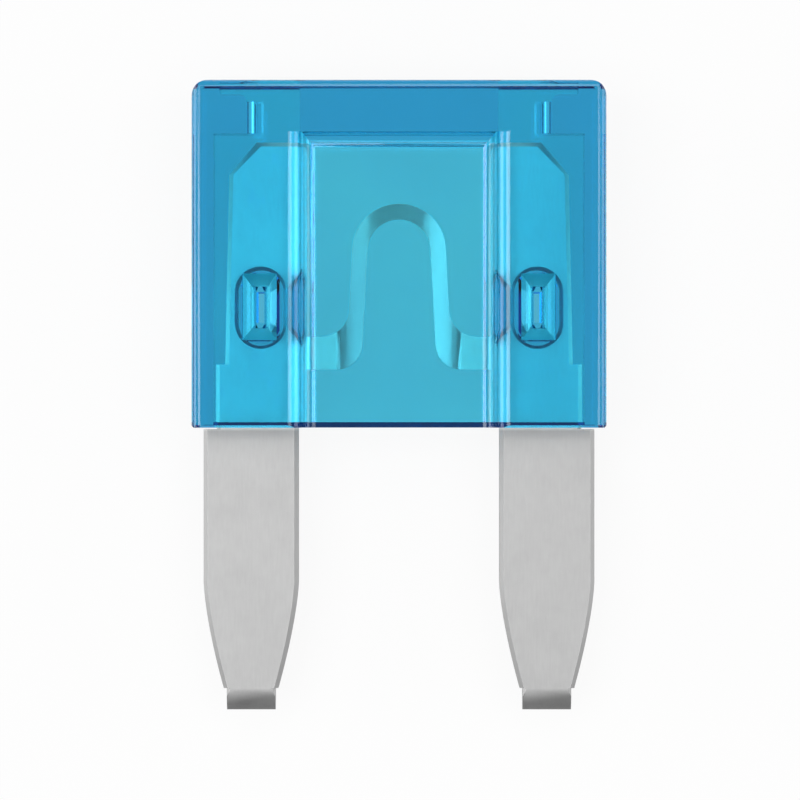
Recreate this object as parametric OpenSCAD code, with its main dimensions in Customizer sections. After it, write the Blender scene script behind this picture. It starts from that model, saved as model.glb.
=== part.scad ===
// Plug-in blade fuse for the fuse box of a car, lying on its back.
// X runs across the two blades, Y along them towards the cap, Z out of the front face.
// The origin is the middle of the overall width and length, on the back face.
// Inside the modules, heights are measured along Y from the housing's open mouth.

/* [Housing] */
// Height of the housing, from its open mouth to the top of the cap
housing_h = 9.05; // [8:0.05:10.5]
// Thickness of the housing, front to back
housing_t = 3.6; // [3:0.1:4.4]
// Thickness of the side walls beside the cavity
side_wall = 0.54; // [0.3:0.02:0.8]
// Thickness of the plastic above the cavity
top_wall = 1.35; // [1:0.05:1.8]
// Height of the full-thickness cap above the windows
cap_h = 1.35; // [1:0.05:2]
// Radius of the two upper corners, seen from the front
corner_r = 0.45; // [0.25:0.05:0.8]
// Radius of the upright outer edges
edge_r = 0.25; // [0.1:0.05:0.4]
// Radius of the cap's long top edges
cap_edge_r = 0.2; // [0.1:0.05:0.4]
// Bevel round the outside of the mouth
mouth_bevel = 0.06; // [0.02:0.01:0.14]

/* [Window] */
// Width of the flat face of each column beside the window
column_w = 2.48; // [2:0.02:3]
// Depth of the window below the front and the back face
window_depth = 0.65; // [0.6:0.01:0.8]
// Slope of the flanks that lead up to the columns, in degrees
flank_slope = 72; // [60:1:78]
// Radius where a flank meets the floor
floor_fillet = 0.36; // [0.15:0.01:0.38]
// Radius where a flank meets a column
column_round = 0.4; // [0.15:0.01:0.42]
// Radius where the floor meets the ledge under the cap
ledge_fillet = 0.4; // [0.05:0.01:0.5]

/* [Cavity] */
// Gap between the metal and the cavity's front and back walls
fit_gap = 0.075; // [0.04:0.005:0.12]
// Gap beside the heads' guides, which centre the metal in the cavity
guide_gap = 0.06; // [0.03:0.01:0.09]
// Gap beside the heads above their guides
head_gap = 0.26; // [0.16:0.02:0.36]
// Gap above the heads
top_gap = 0.23; // [0.1:0.01:0.3]
// Gap between the blades' shoulders and the housing's lower edge
stop_gap = 0.05; // [0.02:0.01:0.2]
// Bevel round the inside of the mouth
lead_in = 0.14; // [0.05:0.01:0.15]

/* [Probe slots] */
// Width of the slots through the cap, where a test probe reaches the metal
probe_w = 1.4; // [1.1:0.02:1.5]
// Distance of a slot's middle from the blade's inner edge
probe_offset = 0.65; // [0.6:0.01:0.8]
// Extra width of the slot's shallow outer step
probe_step_w = 0.7; // [0.3:0.05:0.8]
// Depth of that step below the top face
probe_step_depth = 0.32; // [0.1:0.02:0.5]
// Radius where the step turns down into the slot
probe_step_r = 0.2; // [0.05:0.01:0.3]

/* [Stakes] */
// Width of the blades' oblong holes
hole_w = 1.2; // [1.1:0.05:1.4]
// Height of the blades' oblong holes
hole_h = 2.0; // [1.6:0.05:2.4]
// Height of the holes' centre above the mouth
hole_level = 3.14; // [2.5:0.02:4.5]
// Bevel round the holes' rims
hole_bevel = 0.08; // [0.03:0.01:0.12]
// Gap between a plastic plug and its hole
plug_gap = 0.06; // [0.03:0.01:0.12]
// Width of a staking dent at the face
dent_w = 0.9; // [0.7:0.02:1.1]
// Height of a staking dent at the face
dent_h = 1.73; // [1.3:0.01:1.9]
// Width of the dent's blunt root
dent_root_w = 0.2; // [0.1:0.02:0.4]
// Height of the dent's blunt root
dent_root_h = 0.8; // [0.4:0.05:1.1]
// Depth of a staking dent
dent_depth = 0.85; // [0.5:0.05:1.1]

/* [Blades] */
// Length of blade that stands out of the housing
blade_len = 7.45; // [6:0.05:9]
// Width of each blade
blade_w = 2.5; // [2.1:0.05:3]
// Thickness of the metal
blade_t = 0.8; // [0.6:0.05:1]
// Distance between the two blades' centre lines
blade_pitch = 7.8; // [6.4:0.1:9.4]
// Bevel along the edges of the blades
blade_bevel = 0.11; // [0.05:0.01:0.16]
// Length of the curved taper above the nose
taper_len = 2.8; // [1.5:0.1:4]
// Width of the blade at the foot of the taper
taper_w = 1.44; // [1.1:0.02:1.8]
// Fullness of the taper: 1 is straight, more is rounder
taper_power = 1.45; // [1:0.05:2]
// Length of the coined nose
nose_len = 0.58; // [0.4:0.02:0.8]
// Step in from the taper to the nose, on each side
nose_step = 0.08; // [0.02:0.01:0.15]
// Thickness of the nose where its ramps end and its chamfers begin
nose_t = 0.34; // [0.2:0.02:0.5]
// Length of the chamfers at the very end of the nose
nose_chamfer_len = 0.12; // [0.04:0.01:0.25]
// Thickness at the very end of the nose
nose_end_t = 0.14; // [0.08:0.02:0.18]

/* [Heads] */
// Width of the shoulder, where the blade narrows to its head
shoulder_w = 0.55; // [0.4:0.01:0.7]
// Height of the guides on the heads' outer edges, from the mouth
guide_h = 1.65; // [1:0.05:2]
// How far the head's outer edge leans in towards its top
head_lean = 0.15; // [0:0.01:0.3]
// Width of the sloped outer corner of a head
head_corner_w = 0.72; // [0.4:0.02:0.9]
// Height of the sloped outer corner of a head
head_corner_h = 0.85; // [0.4:0.05:1.2]
// Radius of the head's inner corner
head_r = 0.18; // [0.05:0.01:0.4]

/* [Fusible link] */
// Width of the strip
link_w = 0.4; // [0.25:0.01:0.6]
// Thickness of the milled-down middle
link_t = 0.3; // [0.15:0.01:0.5]
// Radius of the arch, on the strip's centre line
arch_r = 1.03; // [0.8:0.01:1.2]
// Height of the arch's centre above the mouth
arch_level = 4.66; // [3.8:0.02:5.4]
// Splay of the legs, in degrees
leg_splay = 3; // [0:0.5:6]
// Height of the feet's lower edge above the mouth
foot_level = 1.52; // [1.2:0.01:1.8]
// Height of the feet
foot_h = 0.86; // [0.6:0.02:1.1]
// Radius inside the bend between a leg and its foot
foot_fillet = 0.72; // [0.3:0.02:0.9]
// Radius outside that bend
foot_round = 0.7; // [0.3:0.02:0.9]
// Width of the flat middle of the milled hollow
milled_w = 1; // [0.4:0.05:1.4]
// Radius of the hollow's rounded sides
milled_r = 2.8; // [1.5:0.1:4]

/* [Hidden] */

arc_steps = 8;       // facets on each small rounding
taper_steps = 14;    // facets along the taper's curve
round_facets = 48;   // facets on a full circle
spill = 1;           // how far a cutter reaches past the face that it opens
lap = 0.1;           // how far joined solids run into each other

mouth_y = (blade_len - housing_h) / 2;
mid_z = housing_t / 2;

blade_inner = blade_pitch / 2 - blade_w / 2;
blade_outer = blade_pitch / 2 + blade_w / 2;
head_outer = blade_outer - shoulder_w;

slot_t = blade_t + 2 * fit_gap;
slot_w = 2 * (head_outer + head_gap);
slot_h = housing_h - top_wall;
head_h = slot_h - top_gap;
guide_outer = slot_w / 2 - guide_gap;

housing_w = slot_w + 2 * side_wall;
ledge_h = housing_h - cap_h;

hole_x = (blade_inner + head_outer) / 2;
plug_w = hole_w - 2 * plug_gap;
plug_h = hole_h - 2 * plug_gap;

// Points on an arc, from one angle to another
function arc(centre, r, from, to) =
    [for (i = [0:arc_steps]) let (a = from + (to - from) * i / arc_steps) centre + r * [cos(a), sin(a)]];

function reversed(points) = [for (i = [len(points) - 1:-1:0]) points[i]];

function mirrored(points) = [for (p = reversed(points)) [-p.x, p.y]];

// Rectangle about the Y axis, from 0 up to h, with rounded upper and bevelled lower corners
module tab(w, h, top_r, bottom_bevel) {
    right = concat(
        [[w / 2 - bottom_bevel, 0], [w / 2, bottom_bevel]],
        arc([w / 2 - top_r, h - top_r], top_r, 0, 90)
    );
    polygon(concat(right, mirrored(right)));
}

// A prism along Y, from the mouth up to h, whose section is drawn in X and Z
module upright(h) {
    rotate([90, 0, 0]) mirror([0, 0, 1]) linear_extrude(h) children();
}

// A prism along X, w wide, whose section is drawn in Z and Y
module crosswise(w) {
    translate([w / 2, 0, 0]) rotate([0, -90, 0]) linear_extrude(w) children();
}

// Outline with round ends, about the origin
module oblong(w, h) {
    square([w, h - w], center = true);
    for (end = [-1, 1]) translate([0, end * (h - w) / 2]) circle(d = w, $fn = round_facets);
}

// Cutter that bevels the rim of an oblong hole; the face is at Z 0
module rim_bevel(w, h, bevel) {
    translate([0, 0, -bevel]) {
        for (end = [-1, 1])
            translate([0, end * (h - w) / 2, 0])
                cylinder(h = 2 * bevel, d1 = w, d2 = w + 4 * bevel, $fn = round_facets);
        translate([0, (w - h) / 2, 0])
            upright(h - w) polygon([
                [-w / 2, 0], [w / 2, 0], [w / 2 + 2 * bevel, 2 * bevel], [-w / 2 - 2 * bevel, 2 * bevel]
            ]);
    }
}

// Repeats a sub-part at both stakes
module at_stakes() {
    for (side = [-1, 1]) translate([side * hole_x, hole_level]) children();
}

// Right flank of a window: out of the floor, up the slope and onto the column
function flank() = let (
    blends = floor_fillet + column_round,
    straight = (window_depth - blends * (1 - cos(flank_slope))) / sin(flank_slope),
    reach = blends * sin(flank_slope) + straight * cos(flank_slope),
    brow_x = housing_w / 2 - column_w,
    foot = [brow_x - reach, floor_fillet],
    brow = [brow_x, window_depth - column_round]
) concat(
    arc(foot, floor_fillet, -90, flank_slope - 90),
    arc(brow, column_round, flank_slope + 90, 90)
);

// Space that one window takes out of a face, with its floor at Z 0
module window_cut() {
    side = flank();
    brow_x = side[len(side) - 1].x;
    intersection() {
        translate([0, -spill, 0])
            upright(ledge_h + spill)
                polygon(concat(
                    side,
                    [[brow_x, window_depth + spill], [-brow_x, window_depth + spill]],
                    mirrored(side)
                ));
        crosswise(housing_w)
            polygon(concat(
                [[0, -spill], [window_depth + spill, -spill], [window_depth + spill, ledge_h]],
                arc([ledge_fillet, ledge_h - ledge_fillet], ledge_fillet, 90, 180)
            ));
    }
}

// The outer form: three sections at right angles, intersected
module housing_blank() {
    intersection() {
        linear_extrude(housing_t) tab(housing_w, housing_h, corner_r, mouth_bevel);
        upright(housing_h)
            translate([0, mid_z]) {
                for (face = [0, 1])
                    mirror([0, face]) translate([0, -lap]) tab(housing_w, mid_z + lap, edge_r, lap / 2);
            }
        crosswise(housing_w)
            translate([mid_z, 0]) tab(housing_t, housing_h, cap_edge_r, mouth_bevel);
    }
}

// One flat pocket for the metal, with a lead-in along the mouth's front and back edges
module cavity() {
    translate([-slot_w / 2, -spill, mid_z - slot_t / 2]) cube([slot_w, slot_h + spill, slot_t]);
    crosswise(slot_w)
        translate([mid_z, 0])
            polygon([
                [-slot_t / 2 - lead_in - spill, -spill], [slot_t / 2 + lead_in + spill, -spill],
                [slot_t / 2, lead_in], [-slot_t / 2, lead_in]
            ]);
}

// Slots through the cap, round at their outer ends, with a shallow step beyond
module probe_slots() {
    step_y = housing_h - probe_step_depth;
    outer = probe_w / 2;
    step = concat(
        [[0, housing_h + spill], [0, step_y - probe_step_r], [outer, step_y - probe_step_r]],
        arc([outer + probe_step_r, step_y - probe_step_r], probe_step_r, 180, 90),
        [[outer + probe_step_w, step_y], [outer + probe_step_w, housing_h + spill]]
    );
    for (side = [0, 1]) mirror([side, 0, 0])
        translate([blade_inner + probe_offset, 0, mid_z]) {
            translate([0, slot_h - lap, 0])
                upright(housing_h - slot_h + lap + spill) {
                    translate([-outer, -slot_t / 2]) square([probe_w - slot_t / 2, slot_t]);
                    translate([outer - slot_t / 2, 0]) circle(d = slot_t, $fn = round_facets);
                }
            translate([0, 0, -slot_t / 2]) linear_extrude(slot_t) polygon(step);
        }
}

// A blunt wedge: two tapered sections at right angles, intersected; its mouth is at Z 0
module dent() {
    intersection() {
        translate([0, -dent_h / 2, 0])
            upright(dent_h) polygon([
                [-dent_w / 2, 0], [dent_w / 2, 0],
                [dent_root_w / 2, dent_depth], [-dent_root_w / 2, dent_depth]
            ]);
        crosswise(dent_w) polygon([
            [0, -dent_h / 2], [dent_depth, -dent_root_h / 2], [dent_depth, dent_root_h / 2], [0, dent_h / 2]
        ]);
    }
}

module housing() {
    color("deepskyblue", 0.6)
        translate([0, mouth_y, 0])
            difference() {
                union() {
                    difference() {
                        housing_blank();
                        cavity();
                    }
                    translate([0, 0, mid_z - slot_t / 2 - lap])
                        linear_extrude(slot_t + 2 * lap) at_stakes() oblong(plug_w, plug_h);
                }
                probe_slots();
                translate([0, 0, housing_t - window_depth]) window_cut();
                translate([0, 0, window_depth]) mirror([0, 0, 1]) window_cut();
                at_stakes() {
                    dent();
                    translate([0, 0, housing_t]) mirror([0, 0, 1]) dent();
                }
            }
}

// Half the blade's width at a share of the way down the taper
function taper_half(share) = blade_w / 2 - (blade_w - taper_w) / 2 * pow(share, taper_power);

// Right edge of a blade about its own centre line, drawn in by an inset
function blade_edge(inset) = concat(
    [[blade_w / 2 - inset, -stop_gap]],
    [for (i = [0:taper_steps]) let (share = i / taper_steps)
        [taper_half(share) - inset, nose_len - blade_len + taper_len * (1 - share)]]
);

// A plate with its edges bevelled on both faces, from an outline and the same drawn in
module bevelled_plate(outline, drawn_in) {
    hull() {
        translate([0, 0, blade_bevel]) linear_extrude(blade_t - 2 * blade_bevel) polygon(outline);
        linear_extrude(blade_t) polygon(drawn_in);
    }
}

// The blade from its shoulder to the foot of its taper, and the nose coined thinner
module blade() {
    outline = blade_edge(0);
    drawn_in = blade_edge(blade_bevel);
    tip = -blade_len;
    nose_top = tip + nose_len;
    nose_half = taper_w / 2 - nose_step;
    nose = [[nose_half, nose_top + lap], [nose_half, tip]];
    nose_in = [for (p = nose) [p.x - blade_bevel, p.y]];
    bevelled_plate(concat(outline, mirrored(outline)), concat(drawn_in, mirrored(drawn_in)));
    intersection() {
        bevelled_plate(concat(nose, mirrored(nose)), concat(nose_in, mirrored(nose_in)));
        crosswise(blade_w) translate([blade_t / 2, 0]) {
            front = [
                [blade_t / 2, nose_top + lap], [blade_t / 2, nose_top],
                [nose_t / 2, tip + nose_chamfer_len], [nose_end_t / 2, tip]
            ];
            polygon(concat(front, mirrored(front)));
        }
    }
}

// Outline of the right head, drawn in by an inset
function head_edge(inset) = let (
    top = head_h - inset,
    corner_y = head_h - head_corner_h,
    top_outer = head_outer - head_lean - inset
) concat(
    [[blade_inner + inset, -stop_gap - lap], [head_outer - inset, -stop_gap - lap]],
    [[top_outer, corner_y], [top_outer - head_corner_w, top]],
    arc([blade_inner + inset + head_r, top - head_r], head_r, 90, 180)
);

// Upper end of the right blade, inside the housing
module head() {
    bevelled_plate(head_edge(0), head_edge(blade_bevel));
}

// The wider lower part of the right head, with its outer edge bevelled as well
module guide() {
    root = -stop_gap - lap;
    translate([0, root, 0])
        upright(guide_h - root) polygon([
            [head_outer - shoulder_w, 0], [guide_outer - blade_bevel, 0], [guide_outer, blade_bevel],
            [guide_outer, blade_t - blade_bevel], [guide_outer - blade_bevel, blade_t],
            [head_outer - shoulder_w, blade_t]
        ]);
}

// One edge of the strip, from the crown of the arch down to the foot's end
function link_edge(r, wanted_r, level) = let (
    room = blade_inner - r - (arch_level - level) * sin(leg_splay),
    bend_r = min(wanted_r, room),
    bend_y = level + bend_r,
    bend_x = (r + bend_r + (arch_level - bend_y) * sin(leg_splay)) / cos(leg_splay)
) concat(
    arc([0, arch_level], r, 90, leg_splay),
    arc([bend_x, bend_y], bend_r, 180 + leg_splay, 270),
    [[blade_inner + blade_bevel + lap, level]]
);

module link() {
    outer = link_edge(arch_r + link_w / 2, foot_fillet, foot_level + foot_h);
    inner = link_edge(arch_r - link_w / 2, foot_round, foot_level);
    polygon(concat(mirrored(outer), outer, reversed(inner), mirrored(reversed(inner))));
}

// Section across the strip of metal, milled hollow on both faces in its middle
module milled_section() {
    depth = (blade_t - link_t) / 2;
    right = concat(
        arc([milled_w / 2, link_t / 2 + milled_r], milled_r, -90, acos(1 - depth / milled_r) - 90),
        [[housing_w / 2, blade_t / 2]]
    );
    top = concat(mirrored(right), right);
    polygon(concat(top, [for (p = reversed(top)) [p.x, -p.y]]));
}

module fuse_element() {
    color("silver")
        translate([0, mouth_y, mid_z - blade_t / 2])
            difference() {
                union() {
                    intersection() {
                        linear_extrude(blade_t) link();
                        translate([0, 0, blade_t / 2]) upright(housing_h) milled_section();
                    }
                    for (side = [0, 1]) mirror([side, 0, 0]) {
                        head();
                        guide();
                        translate([blade_pitch / 2, 0, 0]) blade();
                    }
                }
                translate([0, 0, -spill])
                    linear_extrude(blade_t + 2 * spill) at_stakes() oblong(hole_w, hole_h);
                at_stakes()
                    for (face = [0, 1])
                        translate([0, 0, blade_t / 2]) mirror([0, 0, face]) translate([0, 0, blade_t / 2])
                            rim_bevel(hole_w, hole_h, hole_bevel);
            }
}

housing();
fuse_element();
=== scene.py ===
import math

import bmesh
import bpy
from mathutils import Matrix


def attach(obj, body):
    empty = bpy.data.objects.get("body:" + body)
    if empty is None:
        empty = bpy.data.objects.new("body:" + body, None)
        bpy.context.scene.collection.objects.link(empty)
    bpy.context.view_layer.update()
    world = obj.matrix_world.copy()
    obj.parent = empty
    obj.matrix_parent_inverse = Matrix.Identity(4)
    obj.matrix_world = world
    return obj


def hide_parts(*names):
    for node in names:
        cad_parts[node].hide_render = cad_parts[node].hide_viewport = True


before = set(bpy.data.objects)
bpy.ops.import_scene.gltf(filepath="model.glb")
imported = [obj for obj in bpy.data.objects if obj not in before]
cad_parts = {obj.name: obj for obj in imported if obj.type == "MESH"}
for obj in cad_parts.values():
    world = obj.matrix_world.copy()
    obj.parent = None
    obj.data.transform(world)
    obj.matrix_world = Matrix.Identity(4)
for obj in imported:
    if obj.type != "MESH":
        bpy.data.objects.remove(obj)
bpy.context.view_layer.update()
print("loaded the fuse's frame")

mm = 0.001


# a copy of a CAD piece, its facets merged and its roundings shaded as curves
def finishedCopy(nodeName, pieceName, finish):
    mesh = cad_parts[nodeName].data.copy()
    mesh.materials.clear()
    mesh.attributes.remove(mesh.attributes["custom_normal"])  # they belong to the loose triangles
    bm = bmesh.new()
    bm.from_mesh(mesh)
    bmesh.ops.remove_doubles(bm, verts=bm.verts, dist=finish["mergeDistance"] * mm)
    bmesh.ops.dissolve_limit(
        bm, angle_limit=math.radians(finish["flatWithin"]), verts=bm.verts, edges=bm.edges)
    bm.to_mesh(mesh)
    bm.free()
    mesh.shade_smooth()
    mesh.set_sharp_from_angle(angle=math.radians(finish["smoothWithin"]))
    piece = bpy.data.objects.new(pieceName, mesh)
    bpy.context.scene.collection.objects.link(piece)
    weigh = piece.modifiers.new("flatsStayFlat", "WEIGHTED_NORMAL")
    weigh.keep_sharp = True
    weigh.weight = finish["flatWeight"]
    graph = bpy.context.evaluated_depsgraph_get()
    finished = bpy.data.meshes.new_from_object(piece.evaluated_get(graph))
    finished.name = pieceName
    piece.modifiers.clear()
    piece.data = finished
    return piece


# small helpers for the materials' nodes; an input is a socket or a plain value
def feed(tree, socket, value):
    if isinstance(value, (int, float, tuple)):
        socket.default_value = value
    else:
        tree.links.new(value, socket)


def mathNode(tree, operation, first, second=0.0):
    node = tree.nodes.new("ShaderNodeMath")
    node.operation = operation
    feed(tree, node.inputs[0], first)
    feed(tree, node.inputs[1], second)
    return node.outputs[0]


def rangeOf(tree, value, fromMin, fromMax, toMin, toMax):
    node = tree.nodes.new("ShaderNodeMapRange")
    feed(tree, node.inputs["Value"], value)
    feed(tree, node.inputs["From Min"], fromMin)
    feed(tree, node.inputs["From Max"], fromMax)
    feed(tree, node.inputs["To Min"], toMin)
    feed(tree, node.inputs["To Max"], toMax)
    return node.outputs[0]


def between(tree, factor, first, second):
    return rangeOf(tree, factor, 0.0, 1.0, first, second)


noiseLow, noiseHigh = 0.3, 0.7  # the noise seldom leaves this range


# goes up and down about the middle with the noise, by a share of it
def swing(tree, noise, middle, share):
    return rangeOf(tree, noise, noiseLow, noiseHigh, middle * (1 - share), middle * (1 + share))


def mixedColour(tree, factor, first, second):
    node = tree.nodes.new("ShaderNodeMix")
    node.data_type = "RGBA"
    feed(tree, node.inputs[0], factor)
    feed(tree, node.inputs[6], first)
    feed(tree, node.inputs[7], second)
    return node.outputs[2]


# a colour made paler or darker, but never brighter than white
def scaledColour(tree, colour, factor):
    node = tree.nodes.new("ShaderNodeVectorMath")
    node.operation = "SCALE"
    feed(tree, node.inputs[0], colour)
    tree.links.new(factor, node.inputs["Scale"])
    capped = tree.nodes.new("ShaderNodeVectorMath")
    capped.operation = "MINIMUM"
    tree.links.new(node.outputs[0], capped.inputs[0])
    capped.inputs[1].default_value = (1.0, 1.0, 1.0)
    return capped.outputs[0]


# the size of the noise, the depth of a bump and the radius of an edge are in mm
def noiseOf(tree, vector, size, detail, roughness):
    node = tree.nodes.new("ShaderNodeTexNoise")
    tree.links.new(vector, node.inputs["Vector"])
    node.inputs["Scale"].default_value = 1 / (size * mm)
    node.inputs["Detail"].default_value = detail
    node.inputs["Roughness"].default_value = roughness
    return node.outputs[0]


def bumpOf(tree, height, depth, below=None):
    node = tree.nodes.new("ShaderNodeBump")
    node.inputs["Distance"].default_value = depth * mm
    tree.links.new(height, node.inputs["Height"])
    if below is not None:
        tree.links.new(below, node.inputs["Normal"])
    return node.outputs[0]


bevelSamples = 2  # more are smoother, but slow
sharpAgreement = 0.85  # how far the rounded normal agrees with the true one on a sharp edge


# 1 on a sharp edge, 0 on a flat
def edgeShare(tree, radius):
    rounded = tree.nodes.new("ShaderNodeBevel")
    rounded.samples = bevelSamples
    rounded.inputs["Radius"].default_value = radius * mm
    surface = tree.nodes.new("ShaderNodeNewGeometry")
    agree = tree.nodes.new("ShaderNodeVectorMath")
    agree.operation = "DOT_PRODUCT"
    tree.links.new(rounded.outputs[0], agree.inputs[0])
    tree.links.new(surface.outputs["Normal"], agree.inputs[1])
    return rangeOf(tree, agree.outputs["Value"], sharpAgreement, 1.0, 1.0, 0.0)


housingLook = {
    "mergeDistance": 0.0005,  # in mm
    "flatWithin": 0.5,  # in degrees, as the next
    "smoothWithin": 32.0,
    "flatWeight": 50,
    "tint": (0.466, 0.937, 1.0),
    "tintSize": 3.0,
    "tintShare": 0.03,
    "roughness": 0.04,
    "hazeSize": 0.25,
    "hazeShare": 0.5,
    "ior": 1.57,
    "specular": 0.2,
    "depthColour": (0.0, 0.705, 0.881, 1.0),
    "density": 800.0,
    "flowSize": 1.6,
    "flowDepth": 0.002,
    "edgeRadius": 0.05,
    "edgeHaze": 0.06,
}


# polycarbonate coloured right through, with the faint waves and haze of a worn mould
def clearPlastic(look):
    material = bpy.data.materials.new("clearBluePlastic")
    material.use_nodes = True
    tree = material.node_tree
    shader = tree.nodes["Principled BSDF"]
    shader.inputs["IOR"].default_value = look["ior"]
    shader.inputs["Specular IOR Level"].default_value = look["specular"]
    shader.inputs["Transmission Weight"].default_value = 1.0
    place = tree.nodes.new("ShaderNodeTexCoord")

    clouds = noiseOf(tree, place.outputs["Object"], look["tintSize"], detail=3.0, roughness=0.5)
    paler = swing(tree, clouds, 1, look["tintShare"])
    tree.links.new(scaledColour(tree, look["tint"], paler), shader.inputs["Base Color"])

    haze = noiseOf(tree, place.outputs["Object"], look["hazeSize"], detail=4.0, roughness=0.6)
    hazy = swing(tree, haze, look["roughness"], look["hazeShare"])
    rubbed = between(tree, edgeShare(tree, look["edgeRadius"]), 0.0, look["edgeHaze"])
    tree.links.new(mathNode(tree, "ADD", hazy, rubbed), shader.inputs["Roughness"])

    flow = noiseOf(tree, place.outputs["Object"], look["flowSize"], detail=2.0, roughness=0.5)
    tree.links.new(bumpOf(tree, flow, look["flowDepth"]), shader.inputs["Normal"])

    depth = tree.nodes.new("ShaderNodeVolumeAbsorption")
    depth.inputs["Color"].default_value = look["depthColour"]
    depth.inputs["Density"].default_value = look["density"]
    tree.links.new(depth.outputs["Volume"], tree.nodes["Material Output"].inputs["Volume"])
    return material


metalLook = {
    "mergeDistance": 0.0005,
    "flatWithin": 0.5,
    "smoothWithin": 32.0,
    "flatWeight": 50,
    "bladeColour": (0.385, 0.385, 0.385, 1.0),
    "headColourPaintedLight": (1.0, 0.98, 0.92, 1.0),  # makes up for light lost behind the plastic
    # painted light too: the link is the blades' metal, made paler for the light lost behind the
    # plastic
    "linkColourPaintedLight": (0.5, 0.43, 0.42, 1.0),
    "mouthLevel": -0.8,  # the housing's lower edge
    "mouthBlend": 0.1,
    "milledHalf": 1.6,  # how far the thinned middle reaches to each side
    "milledBlend": 0.05,
    "roughness": 0.45,
    "linkRoughness": 0.3,
    "satinShare": 0.07,
    "blotchSize": 0.9,
    "blotchShare": 0.05,
    "grainSize": 0.05,
    "grainStretch": 0.1,
    "grainShare": 0.025,
    "grainDepth": 0.0012,
    "rippleSize": 0.5,
    "rippleDepth": 0.004,
    "edgeRadius": 0.06,
    # how much paler the painted edge highlight makes the colour
    "edgeHighlight": 0.12,
}


# dull tin plate: mottled, with a fine drawn grain along the blades, a painted highlight on its sharp
# edges and painted light on the parts behind the plastic
def platedMetal(look):
    material = bpy.data.materials.new("platedMetal")
    material.use_nodes = True
    tree = material.node_tree
    shader = tree.nodes["Principled BSDF"]
    shader.inputs["Metallic"].default_value = 1.0
    place = tree.nodes.new("ShaderNodeTexCoord")
    split = tree.nodes.new("ShaderNodeSeparateXYZ")
    tree.links.new(place.outputs["Object"], split.inputs[0])

    across = mathNode(tree, "ABSOLUTE", split.outputs["X"])
    milledEnd = look["milledHalf"] + look["milledBlend"]
    milled = rangeOf(tree, across, look["milledHalf"] * mm, milledEnd * mm, 1.0, 0.0)
    insideFrom = (look["mouthLevel"] - look["mouthBlend"]) * mm
    insideTo = (look["mouthLevel"] + look["mouthBlend"]) * mm
    inside = rangeOf(tree, split.outputs["Y"], insideFrom, insideTo, 0.0, 1.0)
    # painted light: the heads inside the housing and the thinned link get paler copies of the blades'
    # colour, to make up for light lost behind the plastic
    plain = mixedColour(tree, inside, look["bladeColour"], look["headColourPaintedLight"])
    plain = mixedColour(tree, milled, plain, look["linkColourPaintedLight"])

    blotches = noiseOf(tree, place.outputs["Object"], look["blotchSize"], detail=4.0, roughness=0.6)
    stretch = tree.nodes.new("ShaderNodeMapping")
    stretch.inputs["Scale"].default_value = (1.0, look["grainStretch"], 1.0)
    tree.links.new(place.outputs["Object"], stretch.inputs["Vector"])
    grain = noiseOf(tree, stretch.outputs[0], look["grainSize"], detail=2.0, roughness=0.5)
    mottle = swing(tree, blotches, 1, look["blotchShare"])
    streaks = swing(tree, grain, 1, look["grainShare"])
    # painted highlight: the colour grows paler on sharp edges, as if rounded edges caught the light
    paintedEdgeHighlight = between(tree, edgeShare(tree, look["edgeRadius"]), 1.0, 1 + look["edgeHighlight"])
    mottleGrainAndHighlight = mathNode(tree, "MULTIPLY", mathNode(tree, "MULTIPLY", mottle, streaks), paintedEdgeHighlight)
    tree.links.new(scaledColour(tree, plain, mottleGrainAndHighlight), shader.inputs["Base Color"])

    satin = between(tree, milled, look["roughness"], look["linkRoughness"])
    uneven = swing(tree, blotches, 1, look["satinShare"])
    tree.links.new(mathNode(tree, "MULTIPLY", satin, uneven), shader.inputs["Roughness"])

    ripples = noiseOf(tree, place.outputs["Object"], look["rippleSize"], detail=2.0, roughness=0.5)
    wavy = bumpOf(tree, ripples, look["rippleDepth"])
    brushed = bumpOf(tree, grain, look["grainDepth"], wavy)
    tree.links.new(brushed, shader.inputs["Normal"])
    return material


housing = finishedCopy("housing", "moulded_housing", housingLook)
housing.data.materials.append(clearPlastic(housingLook))
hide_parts("housing")
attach(housing, "root")

element = finishedCopy("fuse_element", "stamped_element", metalLook)
element.data.materials.append(platedMetal(metalLook))
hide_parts("fuse_element")
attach(element, "root")
print("pieces done")

studio = {
    "floorSize": 3.0,  # in m
    "floorDrop": 0.02,  # mm under the fuse
    "floorColour": 0.9,
    "whiteToCamera": 0.9,
    "whiteThroughPlastic": 0.32,
    "whiteInMetal": 0.4,  # seen through the plastic this share is added
    "worldGrey": 0.2,
    "worldWhiteInMetal": 0.05,
    "worldWhiteThroughPlastic": 0.05,
    "maxBounces": 24,
    "glossyBounces": 12,
    "lampDistance": 0.45,  # in m, as the lamps' sizes
    "lamps": {
        "leftHigh": {"size": 0.22, "azimuth": 180.0, "elevation": 67.0, "radiance": 4.2},
        "leftLow": {"size": 0.25, "azimuth": 180.0, "elevation": 14.0, "radiance": 3.0},
        "rightHigh": {"size": 0.22, "azimuth": 0.0, "elevation": 67.0, "radiance": 2.75},
        "rightLow": {"size": 0.25, "azimuth": 0.0, "elevation": 14.0, "radiance": 2.0},
        "backHigh": {"size": 0.2, "azimuth": 90.0, "elevation": 66.0, "radiance": 2.2},
        "frontHigh": {"size": 0.3, "azimuth": 270.0, "elevation": 58.0, "radiance": 0.8},
    },
}


# adds up weights for kinds of ray; rays through the plastic count as glossy too
def rayShare(tree, weights):
    lightPath = tree.nodes.new("ShaderNodeLightPath")
    total = None
    for rayName, weight in weights:
        part = mathNode(tree, "MULTIPLY", lightPath.outputs[rayName], weight)
        total = part if total is None else mathNode(tree, "ADD", total, part)
    return total


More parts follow.
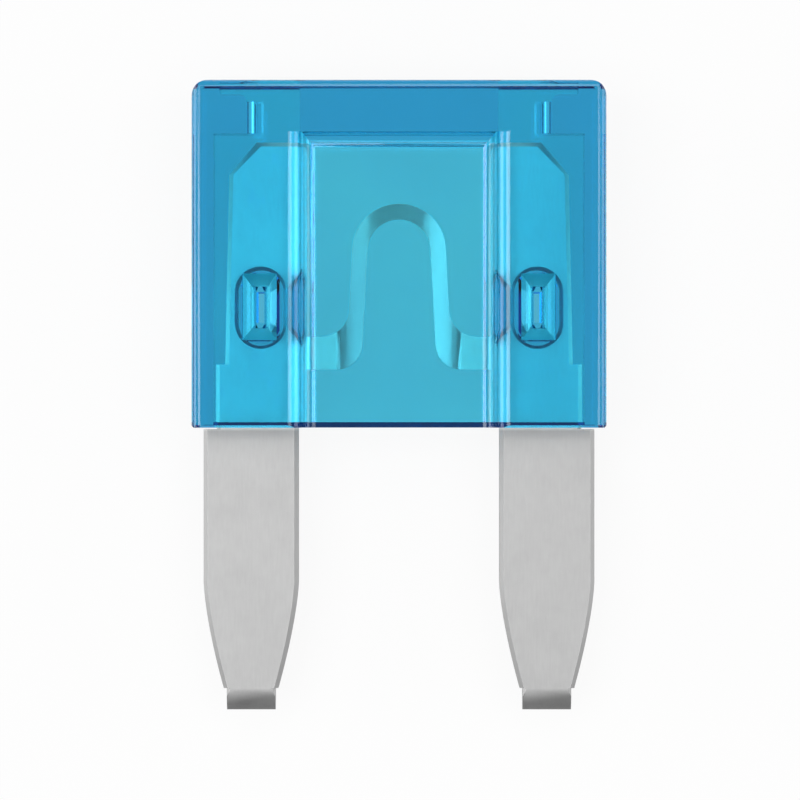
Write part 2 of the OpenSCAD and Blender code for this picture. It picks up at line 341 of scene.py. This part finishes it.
def paleFloor(values):
    half = values["floorSize"] / 2
    drop = -values["floorDrop"] * mm
    mesh = bpy.data.meshes.new("floor")
    corners = [(-half, -half, drop), (half, -half, drop), (half, half, drop), (-half, half, drop)]
    mesh.from_pydata(corners, [], [(0, 1, 2, 3)])
    floor = bpy.data.objects.new("floor", mesh)
    bpy.context.scene.collection.objects.link(floor)
    material = bpy.data.materials.new("palePaper")
    material.use_nodes = True
    tree = material.node_tree
    tree.nodes.remove(tree.nodes["Principled BSDF"])
    matt = tree.nodes.new("ShaderNodeBsdfDiffuse")
    matt.inputs["Color"].default_value = (values["floorColour"],) * 3 + (1.0,)
    white = tree.nodes.new("ShaderNodeEmission")
    blend = tree.nodes.new("ShaderNodeMixShader")
    share = rayShare(tree, [
        ("Is Camera Ray", values["whiteToCamera"]),
        ("Is Glossy Ray", values["whiteInMetal"]),
        ("Is Transmission Ray", values["whiteThroughPlastic"]),
    ])
    tree.links.new(share, blend.inputs["Fac"])
    tree.links.new(matt.outputs[0], blend.inputs[1])
    tree.links.new(white.outputs[0], blend.inputs[2])
    tree.links.new(blend.outputs[0], tree.nodes["Material Output"].inputs["Surface"])
    floor.data.materials.append(material)


def softWorld(values):
    world = bpy.data.worlds.new("studioAir")
    bpy.context.scene.world = world
    world.use_nodes = True
    tree = world.node_tree
    grey = tree.nodes["Background"]
    grey.inputs["Color"].default_value = (1.0, 1.0, 1.0, 1.0)
    grey.inputs["Strength"].default_value = values["worldGrey"]
    white = tree.nodes.new("ShaderNodeBackground")
    white.inputs["Color"].default_value = (1.0, 1.0, 1.0, 1.0)
    white.inputs["Strength"].default_value = 1.0
    blend = tree.nodes.new("ShaderNodeMixShader")
    share = rayShare(tree, [
        ("Is Camera Ray", 1.0),
        ("Is Glossy Ray", values["worldWhiteInMetal"]),
        ("Is Transmission Ray", values["worldWhiteThroughPlastic"]),
    ])
    tree.links.new(share, blend.inputs["Fac"])
    tree.links.new(grey.outputs[0], blend.inputs[1])
    tree.links.new(white.outputs[0], blend.inputs[2])
    tree.links.new(blend.outputs[0], tree.nodes["World Output"].inputs["Surface"])


# a square lamp that faces the fuse; radiance 1 looks plain white from there
def softbox(boxName, values, distance):
    lamp = bpy.data.lights.new(boxName, "AREA")
    lamp.shape = "SQUARE"
    lamp.size = values["size"]
    lamp.energy = values["radiance"] * math.pi * values["size"] ** 2
    box = bpy.data.objects.new(boxName, lamp)
    azimuth = math.radians(values["azimuth"])
    elevation = math.radians(values["elevation"])
    flat = distance * math.cos(elevation)
    box.location = (flat * math.cos(azimuth), flat * math.sin(azimuth), distance * math.sin(elevation))
    box.rotation_euler = (0.0, math.pi / 2 - elevation, azimuth)
    box.visible_camera = False
    bpy.context.scene.collection.objects.link(box)


paleFloor(studio)
softWorld(studio)
for lampName, lampValues in studio["lamps"].items():
    softbox(lampName, lampValues, studio["lampDistance"])
bpy.context.scene.view_settings.view_transform = "Standard"
cycles = bpy.context.scene.cycles
cycles.max_bounces = studio["maxBounces"]
cycles.transmission_bounces = studio["maxBounces"]
cycles.glossy_bounces = studio["glossyBounces"]

cameraFit = {  # place in mm, clipping in m
    "x": 0.026,
    "y": -0.08,
    "height": 102.3,
    "lens": 171.1,
    "clipStart": 0.01,
    "clipEnd": 10.0,
}
camData = bpy.data.cameras.new("camera")
camData.lens = cameraFit["lens"]
camData.clip_start = cameraFit["clipStart"]
camData.clip_end = cameraFit["clipEnd"]
camera = bpy.data.objects.new("camera", camData)
camera.location = (cameraFit["x"] * mm, cameraFit["y"] * mm, cameraFit["height"] * mm)
bpy.context.scene.collection.objects.link(camera)
bpy.context.scene.camera = camera
print("studio and camera ready")
